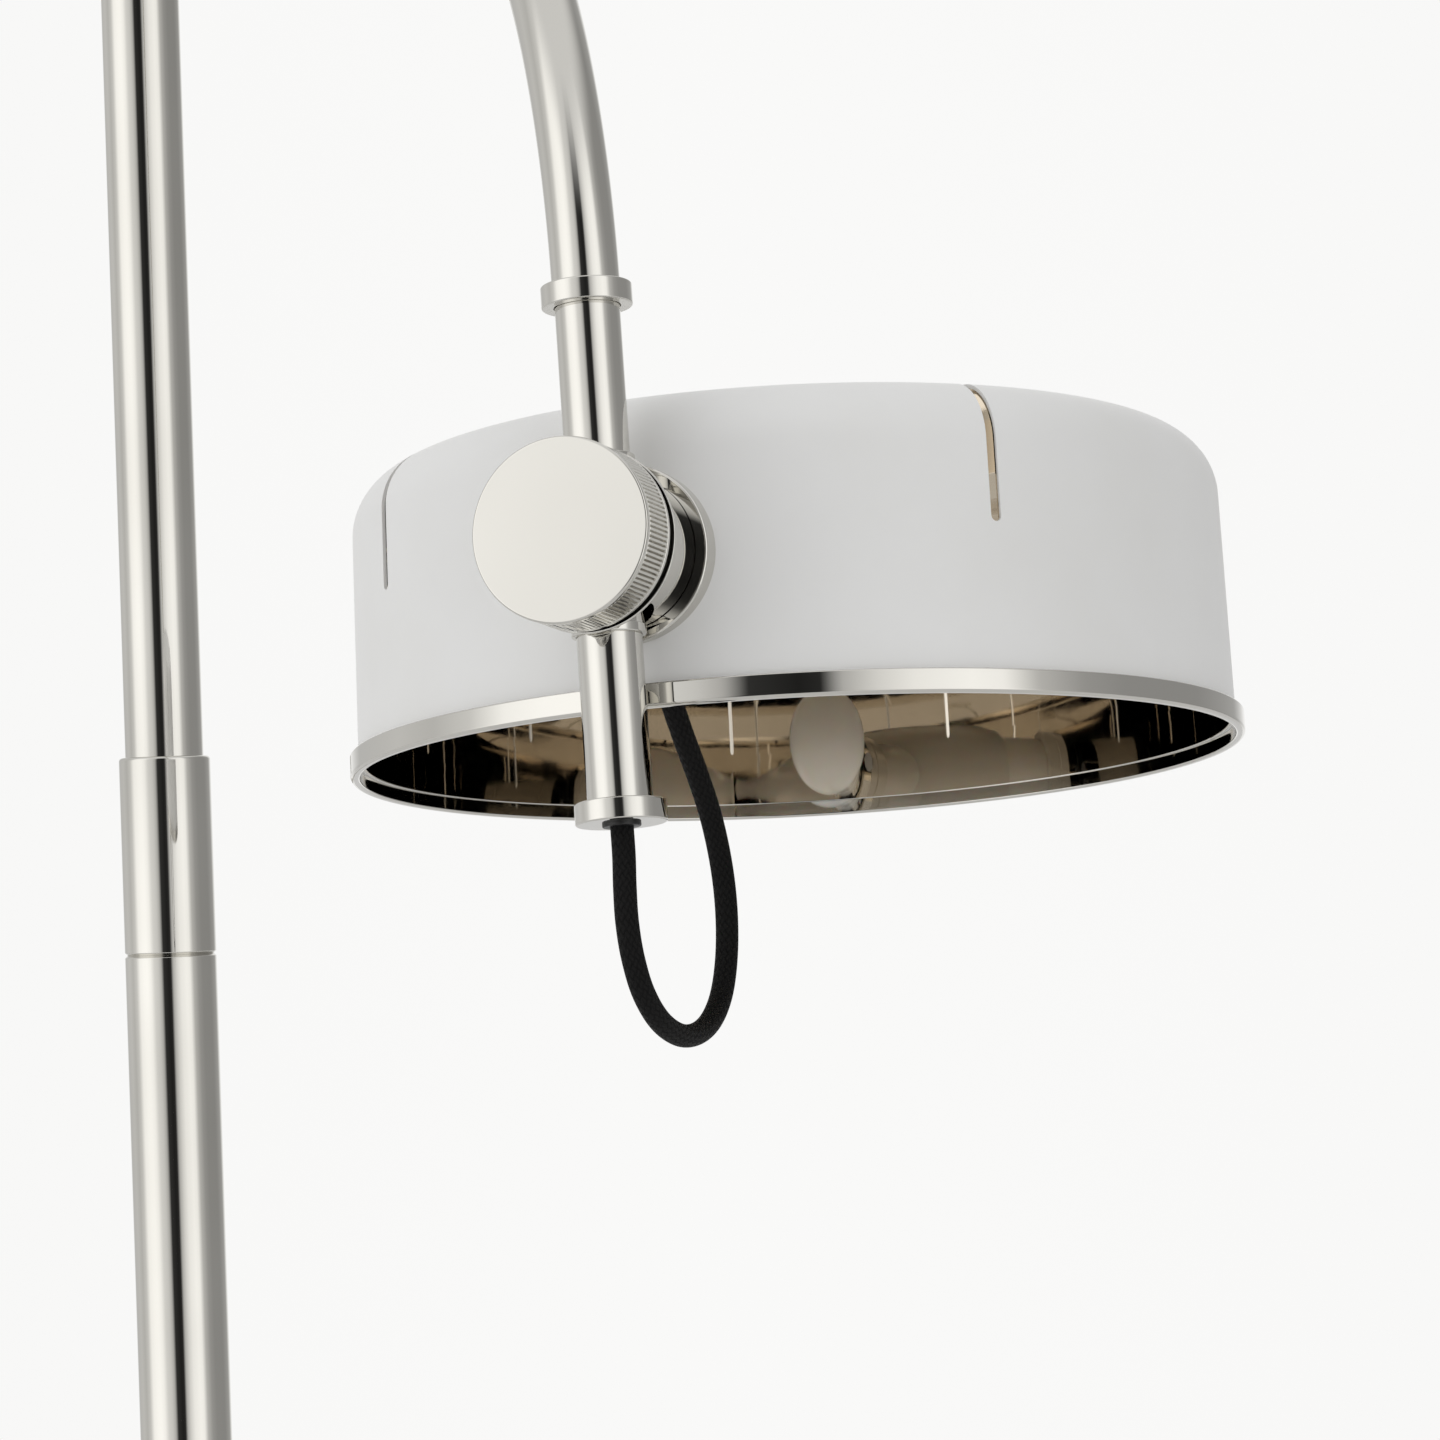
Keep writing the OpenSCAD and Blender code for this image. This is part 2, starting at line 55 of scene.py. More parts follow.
# The lamp's sizes, as in the CAD
BASE_D, PAD_H, WEIGHT_H, COVER_T, COVER_EDGE_R = 380, 2, 22, 1.2, 6
COVER_TOP = PAD_H + WEIGHT_H + COVER_T
LOWER_D, UPPER_D, JOINT_DROP, COUPLER_LEN = 44.5, 38.1, 223.5, 96.5
REACH, ARM_END_Z, ARM_D, ARM_LEAN = 904, 1560, 22, 7.7
POST_BEND_R, POST_BEND_TURN, END_BEND_R, END_BEND_TURN = 150, 100, 200, 38
TUBE_D, TUBE_LEN, COLLAR_D = 21, 163.5, 29.4
KNOB_D, KNOB_RIDGES = 59.4, 120
SHADE_D, SHADE_H, SHOULDER_R, WALL_LEAN = 304, 106, 22, 0.8
SHADE_OFFSET, BOSS_HEIGHT, SHADE_TILT = 172, 50.3, 1.1
SLOT_W, SLOT_Z, SLOT_INNER_R, SLOT_TURN = 3.6, 56.6, 100, 1.5
SKIN_LOW, SHELL_T, LINER_T = 5.5, 1.2, 0.8
BOSS_R, BOSS_FRONT, BOSS_FLOOR, CORD_D = 29.2, 16.1, 18.8, 7.5
KNOB_FACE, KNOB_BACK, GROOVE_DEPTH = -36.4, -17.2, 1.0
HUB_R, HUB_END, FLANGE_BACK, FLANGE_FRONT, SCREW_HOLE_R = 10, -27, -13.2, -12, 4.05
BUSH_R, BUSH_START, BUSH_OUT, BUSH_LIP_R, BUSH_LIP_END = 11.5, 14, 26, 12, 29
CUP_R, CUP_START, CUP_END, GLAND_X, GLAND_LOW = 17, 31.4, 52, 43.5, -33.5


# ---- where things are ----

def place(origin, x_axis, z_axis):
    x, z = Vector(x_axis).normalized(), Vector(z_axis).normalized()
    y = z.cross(x)
    m = Matrix((x, y, z)).transposed().to_4x4()
    m.translation = origin
    return m


def shift(x, y, z):
    return Matrix.Translation(Vector((x, y, z)) * MM)


joints = {j["name"]: j for j in frame["joints"]}
collar_at = Vector(joints["head_swivel"]["pos_m"])
up = Vector(joints["head_swivel"]["axis"]).normalized()
pivot_at = Vector(joints["shade_tilt"]["pos_m"])
out = Vector(joints["shade_tilt"]["axis"]).normalized()

POST = Matrix.Identity(4)
HEAD = place(collar_at, out, up)
CLAMP = place(pivot_at, out, up)
SHADE = CLAMP @ Matrix.Rotation(math.radians(SHADE_TILT), 4, "X") @ shift(SHADE_OFFSET, 0, -BOSS_HEIGHT)
ALONG_X = Matrix.Rotation(math.radians(90), 4, "Y")


# ---- materials ----

class Look:
    """A procedural material: a principled surface whose colour, roughness and bump come from noise."""

    def __init__(self, name):
        self.mat = bpy.data.materials.new(name)
        self.mat.use_nodes = True
        self.tree = self.mat.node_tree
        self.tree.nodes.clear()
        self.shader = self.add("ShaderNodeBsdfPrincipled")
        target = self.add("ShaderNodeOutputMaterial")
        self.tree.links.new(self.shader.outputs[0], target.inputs[0])
        self.coords = self.add("ShaderNodeTexCoord")
        self.bump_out = None

    def add(self, kind, **settings):
        node = self.tree.nodes.new(kind)
        for key, value in settings.items():
            setattr(node, key, value)
        return node

    def feed(self, socket, value):
        if hasattr(value, "links"):
            self.tree.links.new(value, socket)
        else:
            socket.default_value = value

    def noise(self, scale, detail=3.0, stretch=(1, 1, 1)):
        mapping = self.add("ShaderNodeMapping")
        self.feed(mapping.inputs["Vector"], self.coords.outputs["Object"])
        mapping.inputs["Scale"].default_value = stretch
        tex = self.add("ShaderNodeTexNoise")
        self.feed(tex.inputs["Vector"], mapping.outputs[0])
        tex.inputs["Scale"].default_value = scale
        tex.inputs["Detail"].default_value = detail
        return tex.outputs["Fac"]

    def span(self, value, low, high, start=0.3, end=0.7):
        node = self.add("ShaderNodeMapRange")
        self.feed(node.inputs["Value"], value)
        node.inputs["From Min"].default_value = start
        node.inputs["From Max"].default_value = end
        node.inputs["To Min"].default_value = low
        node.inputs["To Max"].default_value = high
        return node.outputs[0]

    def math(self, operation, a, b=0.0):
        node = self.add("ShaderNodeMath", operation=operation)
        self.feed(node.inputs[0], a)
        self.feed(node.inputs[1], b)
        return node.outputs[0]

    def mix(self, factor, a, b):
        node = self.add("ShaderNodeMix", data_type="RGBA")
        self.feed(node.inputs[0], factor)
        self.feed(node.inputs[6], a if hasattr(a, "links") else (*a, 1))
        self.feed(node.inputs[7], b if hasattr(b, "links") else (*b, 1))
        return node.outputs[2]

    def bump(self, height, strength, distance):
        node = self.add("ShaderNodeBump")
        node.inputs["Strength"].default_value = strength
        node.inputs["Distance"].default_value = distance
        self.feed(node.inputs["Height"], height)
        if self.bump_out is not None:
            self.feed(node.inputs["Normal"], self.bump_out)
        self.bump_out = node.outputs[0]
        self.feed(self.shader.inputs["Normal"], self.bump_out)

    def surface(self, colour, roughness, metallic=0.0, **extra):
        self.feed(self.shader.inputs["Base Color"], colour)
        self.feed(self.shader.inputs["Roughness"], roughness)
        self.feed(self.shader.inputs["Metallic"], metallic)
        for key, value in extra.items():
            self.feed(self.shader.inputs[key.replace("_", " ")], value)


def simple_look(name, dark, light, metallic, rough, scale, bump_scale, strength, distance, **extra):
    look = Look(name)
    look.surface(
        look.mix(look.span(look.noise(scale), 0, 1), dark, light),
        look.span(look.noise(scale * 2.3, 5), rough[0], rough[1]),
        metallic,
        **extra,
    )
    look.bump(look.noise(bump_scale, 4), strength, distance)
    return look.mat


def nickel_look(name, dark, light, rough):
    look = Look(name)
    smudge = look.noise(38, 4)
    wipe = look.noise(240, 2, (1, 1, 0.06))
    look.surface(
        look.mix(look.span(look.noise(9, 2), 0, 1), dark, light),
        look.math("ADD", look.span(smudge, rough[0], rough[1], 0.42, 0.72), look.span(wipe, 0, 0.012)),
        1.0,
    )
    look.bump(look.noise(60, 2), 0.02, 0.0002)
    return look.mat


def enamel_look():
    look = Look("white_enamel")
    dust = look.span(look.noise(14, 5), 0, 1, 0.45, 0.75)
    look.surface(
        look.mix(dust, (0.87, 0.87, 0.865), (0.84, 0.838, 0.825)),
        look.span(look.noise(70, 4), 0.40, 0.50),
        0.0,
    )
    look.bump(look.noise(1500, 2), 0.05, 0.0001)
    return look.mat


def braid_look():
    look = Look("black_fabric")
    uv = look.add("ShaderNodeSeparateXYZ")
    look.feed(uv.inputs[0], look.coords.outputs["UV"])
    around = look.math("MULTIPLY", uv.outputs[0], 12)
    along = look.math("MULTIPLY", uv.outputs[1], 1 / 0.0034)
    left = look.math("ADD", around, along)
    right = look.math("SUBTRACT", around, along)
    cell = look.math("ADD", look.math("FLOOR", left), look.math("FLOOR", right))
    odd = look.math("FLOORED_MODULO", cell, 2)
    a = look.math("SINE", look.math("MULTIPLY", look.math("FRACT", left), math.pi))
    b = look.math("SINE", look.math("MULTIPLY", look.math("FRACT", right), math.pi))
    pick = look.add("ShaderNodeMix", data_type="FLOAT")
    look.feed(pick.inputs[0], odd)
    look.feed(pick.inputs[2], a)
    look.feed(pick.inputs[3], b)
    strand = pick.outputs[0]
    fibre = look.noise(2600, 3)
    # Painted shade and highlight: the cord is darker in the grooves between strands and lighter on each strand's
    # crest; the fibre noise on top is random tone.
    groove_shade_and_fibre_tone = look.math("MULTIPLY", look.math("MULTIPLY", strand, strand), look.span(fibre, 0.3, 1.0))
    colour = look.mix(groove_shade_and_fibre_tone, (0.002, 0.002, 0.002), (0.011, 0.0105, 0.010))
    look.surface(colour, look.span(fibre, 0.55, 0.85), 0.0)
    look.feed(look.shader.inputs["Specular IOR Level"], 0.15)
    look.bump(strand, 0.7, 0.00035)
    look.bump(fibre, 0.3, 0.0001)
    return look.mat


LOOKS = {
    "polished_nickel": nickel_look(
        "polished_nickel", (0.63, 0.615, 0.575), (0.69, 0.675, 0.635), (0.02, 0.055)),
    "nickel_lining": nickel_look("nickel_lining", (0.68, 0.62, 0.53), (0.75, 0.69, 0.60), (0.01, 0.03)),
    "white_enamel": enamel_look(),
    "zinc_steel": simple_look(
        "zinc_steel", (0.46, 0.46, 0.47), (0.60, 0.60, 0.60), 1.0, (0.25, 0.42), 120, 900, 0.1, 0.0001),
    "brass": simple_look(
        "brass", (0.48, 0.32, 0.12), (0.62, 0.44, 0.18), 1.0, (0.2, 0.36), 90, 700, 0.08, 0.0001),
    "cast_iron": simple_look(
        "cast_iron", (0.02, 0.02, 0.021), (0.045, 0.044, 0.043), 0.0, (0.5, 0.8), 60, 420, 0.5, 0.0004),
    "black_rubber": simple_look(
        "black_rubber", (0.012, 0.012, 0.012), (0.03, 0.03, 0.029), 0.0, (0.7, 0.9), 80, 1200, 0.3, 0.0002),
    "black_plastic": simple_look(
        "black_plastic", (0.008, 0.008, 0.008), (0.018, 0.018, 0.018), 0.0, (0.3, 0.5), 110, 1400,
        0.15, 0.0001),
    "cable_sheath": simple_look(
        "cable_sheath", (0.01, 0.01, 0.01), (0.022, 0.022, 0.022), 0.0, (0.45, 0.65), 100, 1100, 0.2, 0.0001),
    "nylon": simple_look(
        "nylon", (0.66, 0.62, 0.52), (0.74, 0.70, 0.60), 0.0, (0.3, 0.5), 70, 900, 0.1, 0.0001),
    "porcelain": simple_look(
        "porcelain", (0.76, 0.74, 0.69), (0.83, 0.81, 0.77), 0.0, (0.1, 0.22), 40, 300, 0.05, 0.0002),
    "opal_glass": simple_look(
        "opal_glass", (0.84, 0.83, 0.80), (0.90, 0.89, 0.87), 0.0, (0.08, 0.18), 30, 250, 0.03, 0.0002,
        Subsurface_Weight=0.3, Subsurface_Scale=0.004),
    "black_fabric": braid_look(),
}


# ---- shapes ----

def add_piece(obj, body, slot, *nodes):
    obj.data.materials.append(LOOKS[slot])
    if nodes:
        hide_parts(*nodes)
    if body is not None:
        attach(obj, body)
    return obj


def to_object(bm, name, matrix, sharp=38.0, even=False):
    """The mesh with smooth faces, split where it turns sharply."""
    bmesh.ops.recalc_face_normals(bm, faces=bm.faces)
    for face in bm.faces:
        face.smooth = True
    limit = math.radians(sharp)
    for edge in bm.edges:
        if len(edge.link_faces) != 2 or edge.calc_face_angle(0) > limit:
            edge.smooth = False
    mesh = bpy.data.meshes.new(name)
    bm.to_mesh(mesh)
    bm.free()
    mesh.transform(matrix)
    obj = bpy.data.objects.new(name, mesh)
    bpy.context.scene.collection.objects.link(obj)
    if even:
        weighted = obj.modifiers.new("even", "WEIGHTED_NORMAL")
        weighted.keep_sharp = True
    return obj


def rounded(corners, closed):
    """The outline with each corner (r, z, radius) turned into an arc of that radius."""
    count = len(corners)
    line = []
    for i, corner in enumerate(corners):
        here = Vector(corner[:2])
        radius = corner[2] if len(corner) > 2 else 0
        if radius == 0 or (not closed and i in (0, count - 1)):
            line.append(here)
            continue
        back = (Vector(corners[i - 1][:2]) - here).normalized()
        ahead = (Vector(corners[(i + 1) % count][:2]) - here).normalized()
        half = back.angle(ahead) / 2
        middle = here + (back + ahead).normalized() * radius / math.sin(half)
        first = here + back * radius / math.tan(half) - middle
        last = here + ahead * radius / math.tan(half) - middle
        turn = first.angle_signed(last)
        steps = max(2, round(abs(math.degrees(turn)) / 12))
        for k in range(steps + 1):
            a = -turn * k / steps
            c, s = math.cos(a), math.sin(a)
            line.append(middle + Vector((first.x * c - first.y * s, first.x * s + first.y * c)))
    return line


def skin_rings(bm, rings, closed_path):
    """Faces between rings of vertices; a ring of one vertex is a pole."""
    pairs = list(zip(rings, rings[1:])) + ([(rings[-1], rings[0])] if closed_path else [])
    for a, b in pairs:
        count = max(len(a), len(b))
        if count == 1:
            continue
        for k in range(count):
            n = (k + 1) % count
            quad = [a[k % len(a)], a[n % len(a)], b[n % len(b)], b[k % len(b)]]
            bm.faces.new(list(dict.fromkeys(quad)))


def lathe(name, corners, matrix, closed=False, sides=160, ripple=None):
    """A turned piece: the outline goes round the Z axis. ripple is (low, high, count, depth):
    narrow grooves with flat lands between them."""
    bm = bmesh.new()
    rings = []
    for r, z in rounded(corners, closed):
        if r < 1e-6:
            rings.append([bm.verts.new((0, 0, z * MM))])
            continue
        ring = []
        for k in range(sides):
            a = 2 * math.pi * k / sides
            cut = 0
            if ripple and ripple[0] <= z <= ripple[1]:
                cut = ripple[3] * (0.5 - 0.5 * math.cos(ripple[2] * a)) ** 5
            ring.append(bm.verts.new(((r - cut) * MM * math.cos(a), (r - cut) * MM * math.sin(a), z * MM)))
        rings.append(ring)
    skin_rings(bm, rings, closed)
    return to_object(bm, name, matrix, even=True)


def sweep(name, centres, sides_axis, radius, sides=96, uv=False):
    """A round tube along points that lie in one plane; sides_axis is the plane's normal."""
    bm = bmesh.new()
    rings = []
    travel = [0.0]
    for i, here in enumerate(centres):
        before, after = centres[max(i - 1, 0)], centres[min(i + 1, len(centres) - 1)]
        along = (after - before).normalized()
        across = sides_axis.cross(along).normalized()
        rings.append([
            bm.verts.new(here + (across * math.cos(a) + sides_axis * math.sin(a)) * radius)
            for a in (2 * math.pi * k / sides for k in range(sides))
        ])
        if i:
            travel.append(travel[-1] + (here - before).length)
    skin_rings(bm, rings, False)
    if uv:
        layer = bm.loops.layers.uv.new("braid")
        where = {v: (k / sides, travel[i]) for i, ring in enumerate(rings) for k, v in enumerate(ring)}
        for face in bm.faces:
            us = [where[loop.vert][0] for loop in face.loops]
            wraps = max(us) - min(us) > 0.5
            for loop in face.loops:
                u, v = where[loop.vert]
                loop[layer].uv = (u + 1 if wraps and u < 0.5 else u, v)
    bm.faces.new(list(reversed(rings[0])))
    bm.faces.new(rings[-1])
    return to_object(bm, name, Matrix.Identity(4))


def washer(inner_r, outer_r, low, high, edge=0.25):
    """The outline of a ring with slightly rounded edges."""
    return [(inner_r, low, edge), (outer_r, low, edge), (outer_r, high, edge), (inner_r, high, edge)]


def route_through(points, step):
    """A smooth line through the points, as a Catmull-Rom curve."""
    ends = [2 * points[0] - points[1]] + list(points) + [2 * points[-1] - points[-2]]
    line = []
    for p0, p1, p2, p3 in zip(ends, ends[1:], ends[2:], ends[3:]):
        pieces = max(1, round((p2 - p1).length / step))
        for k in range(pieces):
            t = k / pieces
            line.append(0.5 * (
                2 * p1 + (p2 - p0) * t + (2 * p0 - 5 * p1 + 4 * p2 - p3) * t * t
                + (3 * p1 - p0 - 3 * p2 + p3) * t ** 3
            ))
    return line + [points[-1]]


# ---- camera: level with the shade, looking back towards the post ----

camera_data = bpy.data.cameras.new("camera")
camera_data.lens = 128.66
camera_data.sensor_width = 36
camera_data.clip_end = 60
camera = bpy.data.objects.new("camera", camera_data)
view_yaw, view_pitch, view_roll = 164.986, 1.211, -1.981
aim = Vector((
    math.cos(math.radians(view_yaw)) * math.cos(math.radians(view_pitch)),
    math.sin(math.radians(view_yaw)) * math.cos(math.radians(view_pitch)),
    math.sin(math.radians(view_pitch)),
))
turn = aim.to_track_quat("-Z", "Y").to_matrix().to_4x4() @ Matrix.Rotation(math.radians(view_roll), 4, "Z")
camera.matrix_world = Matrix.Translation(collar_at + Vector((1596.9, -389.0, -171.6)) * MM) @ turn
bpy.context.scene.collection.objects.link(camera)
bpy.context.scene.camera = camera


# ---- cord ----

CORD_ROUTE = [
    (0, -171.5), (0, -181), (-1, -191), (-1, -202), (2, -213), (9, -223.5), (21.5, -231.5),
    (38, -235), (54, -233.5), (68, -228), (79, -218.5), (86, -205), (88.5, -190),
    (86.5, -175), (80, -160), (70, -147), (59.5, -135.5), (50.5, -124.5), (43.5, -115),
]


def head_point(x, z):
    return HEAD @ (Vector((x, 0, z)) * MM)


cord_line = route_through([head_point(x, z) for x, z in CORD_ROUTE], 1.2 * MM)
cord = sweep("cord", cord_line, up.cross(out), CORD_D / 2 * MM, sides=40, uv=True)
add_piece(cord, None, "black_fabric", "lamp_cord")
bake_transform(cord)


# ---- base and post ----

def edge_line(outer, top, radius, inset=0.0):
    """A rounded outer edge as points, from the side up to the top."""
    return [
        (outer - radius + (radius - inset) * math.cos(a), top - radius + (radius - inset) * math.sin(a))
        for a in (math.radians(6 * k) for k in range(16))
    ]


def build_base():
    outer, top = BASE_D / 2, COVER_TOP
    line = [(outer, PAD_H + 1)] + edge_line(outer, top, COVER_EDGE_R)
    line += [(11, top), (11, top - COVER_T)]
    line += list(reversed(edge_line(outer, top, COVER_EDGE_R, COVER_T))) + [(outer - COVER_T, PAD_H + 1)]
    add_piece(lathe("base_cover_v", line, POST, True, 256), "post", "polished_nickel", "base_cover")
    foot = [(LOWER_D / 2, top), (36, top, 0.4), (36, top + 4)]
    foot += [
        (36 - 10 * math.sin(a), top + 14 - 10 * math.cos(a))
        for a in (math.radians(9 * k) for k in range(1, 11))
    ]
    foot += [(LOWER_D / 2, top + 14)]
    add_piece(lathe("post_foot_v", foot, POST, True), "post", "polished_nickel", "post_foot")


def build_post():
    joint_z = ARM_END_Z - JOINT_DROP
    coupler_top = joint_z + COUPLER_LEN
    inner, outer, upper = LOWER_D / 2 - 1.5, LOWER_D / 2, UPPER_D / 2
    c = 1.2
    lower = [
        (inner, COVER_TOP), (outer, COVER_TOP), (outer, joint_z - c, 0.5), (outer - c, joint_z, 0.2),
        (inner, joint_z),
    ]
    add_piece(lathe("lower_post_v", lower, POST, True), "post", "polished_nickel", "lower_post")
    coupler = [
        (upper - 1.5, joint_z - 40), (inner, joint_z - 40), (inner, joint_z), (outer - c, joint_z, 0.2),
        (outer, joint_z + c, 0.5), (outer, coupler_top, 1.8), (upper, coupler_top, 0.3),
        (upper, joint_z + 6), (upper - 1.5, joint_z + 6),
    ]
    add_piece(lathe("post_coupler_v", coupler, POST, True), "post", "polished_nickel", "post_coupler")
    tube = washer(upper - 1.5, upper, joint_z + 6, POST_TOP, 0.2)
    add_piece(lathe("upper_post_v", tube, POST, True), "post", "polished_nickel", "upper_post")
    lip = upper + 3
    cap = [
        (5.25, POST_TOP - 40), (upper - 1.5, POST_TOP - 40), (upper - 1.5, POST_TOP), (lip, POST_TOP, 0.5),
        (lip, POST_TOP + 8, 1.4), (ARM_D / 2, POST_TOP + 8, 0.3), (ARM_D / 2, POST_TOP - 36),
        (5.25, POST_TOP - 36),
    ]
    add_piece(lathe("post_cap_v", cap, POST, True), "post", "polished_nickel", "post_cap")


def arm_shape():
    """The arm's centreline as points (x, z): three arcs that run into each other."""
    a, c = math.radians(POST_BEND_TURN), math.radians(180 - ARM_LEAN)
    b = c - math.radians(END_BEND_TURN)
    crown = (REACH - POST_BEND_R * (1 - math.cos(a)) - END_BEND_R * (math.cos(b) - math.cos(c)))
    crown /= math.cos(a) - math.cos(b)
    rise = POST_BEND_R * math.sin(a) + crown * (math.sin(b) - math.sin(a))
    rise += END_BEND_R * (math.sin(c) - math.sin(b))
    start_z = ARM_END_Z - rise
    line = [(0, start_z - 45 - 36), (0, start_z - 20)]
    x, z = 0.0, start_z
    for low, high, radius, steps in ((0, a, POST_BEND_R, 64), (a, b, crown, 72), (b, c, END_BEND_R, 40)):
        for k in range(steps):
            h = low + (high - low) * k / steps
            across, height = math.cos(low) - math.cos(h), math.sin(h) - math.sin(low)
            line.append((x + radius * across, z + radius * height))
        x += radius * (math.cos(low) - math.cos(high))
        z += radius * (math.sin(high) - math.sin(low))
    return line + [(x, z)], start_z


ARM_LINE, ARM_START_Z = arm_shape()
POST_TOP = ARM_START_Z - 45


def build_arm():
    centres = [Vector((x, 0, z)) * MM for x, z in ARM_LINE] + [HEAD @ (Vector((0, 0, -2.1)) * MM)]
    arm = sweep("arm_v", centres, Vector((0, 1, 0)), ARM_D / 2 * MM, sides=128)
    add_piece(arm, "post", "polished_nickel", "arm_tube")
    r = COLLAR_D / 2
    collar = [
        (11.1, 3.6, 0.3), (11.1, -2.1), (10.8, -2.1), (10.8, -3.6, 0.3), (r, -3.6, 0.6), (r, 3.6, 0.6),
    ]
    add_piece(lathe("arm_collar_v", collar, HEAD, True), "post", "polished_nickel", "arm_collar")


# ---- head tube and clamp ----

def build_head():
    low = -TUBE_LEN
    tube = washer(TUBE_D / 2 - 1.5, TUBE_D / 2, low, -2.5, 0.3)
    add_piece(lathe("head_tube_v", tube, HEAD, True), "head", "polished_nickel", "head_tube")
    r = COLLAR_D / 2
    cap = [
        (5, low - 7, 0.3), (r, low - 7, 0.6), (r, low, 0.6), (9, low), (9, low + 10, 0.5), (5, low + 10),
    ]
    add_piece(lathe("end_cap_v", cap, HEAD, True), "head", "polished_nickel", "end_cap")
    bush = [
        (3.75, low - 8, 0.2), (6.2, low - 8, 0.4), (6.2, low - 7), (5, low - 7), (5, low - 1),
        (3.75, low - 1),
    ]
    add_piece(lathe("cord_bush_v", bush, HEAD, True, 96), "head", "black_plastic", "cord_bush")


def build_clamp():
    turned = CLAMP @ ALONG_X
    r = KNOB_D / 2
    flange = [
        (SCREW_HOLE_R, HUB_END), (HUB_R, HUB_END), (HUB_R, FLANGE_BACK), (r, FLANGE_BACK, 0.45),
        (r, FLANGE_FRONT, 0.45), (SCREW_HOLE_R, FLANGE_FRONT),
    ]
    add_piece(lathe("clamp_flange_v", flange, turned, True), "carriage", "polished_nickel", "clamp_flange")
    bush = [
        (10.55, BUSH_START), (BUSH_R, BUSH_START), (BUSH_R, BUSH_OUT), (BUSH_LIP_R, BUSH_OUT, 0.2),
        (BUSH_LIP_R, BUSH_LIP_END, 0.5), (10.55, BUSH_LIP_END, 0.3),
    ]
    for name, side in (("tube_bush_2", CLAMP), ("tube_bush_0", CLAMP @ Matrix.Rotation(math.pi, 4, "X"))):
        add_piece(lathe(name, bush, side, True, 128), "carriage", "polished_nickel", "tube_bushes")
    face, back = KNOB_FACE, KNOB_BACK
    knob = [
        (0, face), (r, face, 0.8), (r, face + 2.2, 0.25), (r - 0.35, face + 2.5, 0.2),
        (r - 0.05, face + 2.8), (r - 0.05, back - 2.0), (r - 0.35, back - 1.7, 0.2), (r, back - 1.4, 0.25),
        (r, back, 0.4), (21, back, 0.3), (21, face + 6), (4, face + 6), (4, face + 2), (0, face + 2),
    ]
    ripple = (face + 2.75, back - 1.95, KNOB_RIDGES, GROOVE_DEPTH)
    rim = lathe("knob_v", knob, turned, False, KNOB_RIDGES * 8, ripple)
    add_piece(rim, "knob", "polished_nickel", "clamp_knob")
    ring = washer(21, 25.5, back, FLANGE_BACK - 0.3)
    add_piece(lathe("knob_ring_v", ring, turned, True), "knob", "black_plastic", "knob_ring")


def build_lampholder():
    turned = CLAMP @ ALONG_X
    cup = [
        (CUP_R, CUP_START, 2.0), (CUP_R, CUP_END, 0.3), (CUP_R - 1.5, CUP_END, 0.3),
        (CUP_R - 1.5, CUP_START + 2, 0.8), (7, CUP_START + 2), (7, CUP_START),
    ]
    add_piece(lathe("holder_cup_v", cup, turned, True, 128), "carriage", "polished_nickel", "holder_cup")
    gland = [
        (0, GLAND_LOW), (4.6, GLAND_LOW, 0.3), (6.2, -20, 0.4), (6.2, -CUP_R, 0.2), (4.4, -CUP_R), (4.4, -12),
        (0, -12),
    ]
    at = CLAMP @ shift(GLAND_X, 0, 0)
    add_piece(lathe("cord_gland_v", gland, at, False, 96), "carriage", "black_plastic", "cord_gland")
    holder = [
        (CUP_R - 1.5, CUP_END - 3.7), (CUP_R - 1.5, CUP_END), (CUP_R, CUP_END, 0.4),
        (CUP_R, CUP_END + 12, 0.8),
        (CUP_R - 0.8, CUP_END + 13), (CUP_R, CUP_END + 14, 0.8), (CUP_R, CUP_END + 26, 1.0),
        (13.3, CUP_END + 26, 0.6), (13.3, CUP_END - 1.5), (0, CUP_END - 1.5), (0, CUP_END - 3.7),
    ]
    add_piece(lathe("lampholder_v", holder, turned, True, 128), "carriage", "porcelain", "lampholder")
    start, globe_r = CUP_END + 24, 22.5
    middle = start + 42
    neck = [(0, start), (13, start), (14, start + 8)]
    first = math.radians(-50)
    widen, climb = globe_r * math.cos(first) - 14, middle + globe_r * math.sin(first) - start - 8
    fair = [(14 + widen * t * t, start + 8 + climb * t) for t in (0.25, 0.5, 0.75)]
    globe = [
        (globe_r * math.cos(a), middle + globe_r * math.sin(a))
        for a in (first + (math.pi / 2 - first) * k / 24 for k in range(25))
    ]
    globe[-1] = (0, middle + globe_r)
    lamp = lathe("lamp_glass_v", neck + fair + globe, turned, False, 128)
    add_piece(lamp, "carriage", "opal_glass", "lamp_glass")


# ---- shade ----

WALL_R = SHADE_D / 2
SHOULDER_Z = SHADE_H - SHOULDER_R
SHOULDER_WALL_R = WALL_R - (SHOULDER_Z - SKIN_LOW) * math.tan(math.radians(WALL_LEAN))


def wall_radius(z, depth=0.0):
    return WALL_R - depth - (z - SKIN_LOW) * math.tan(math.radians(WALL_LEAN))


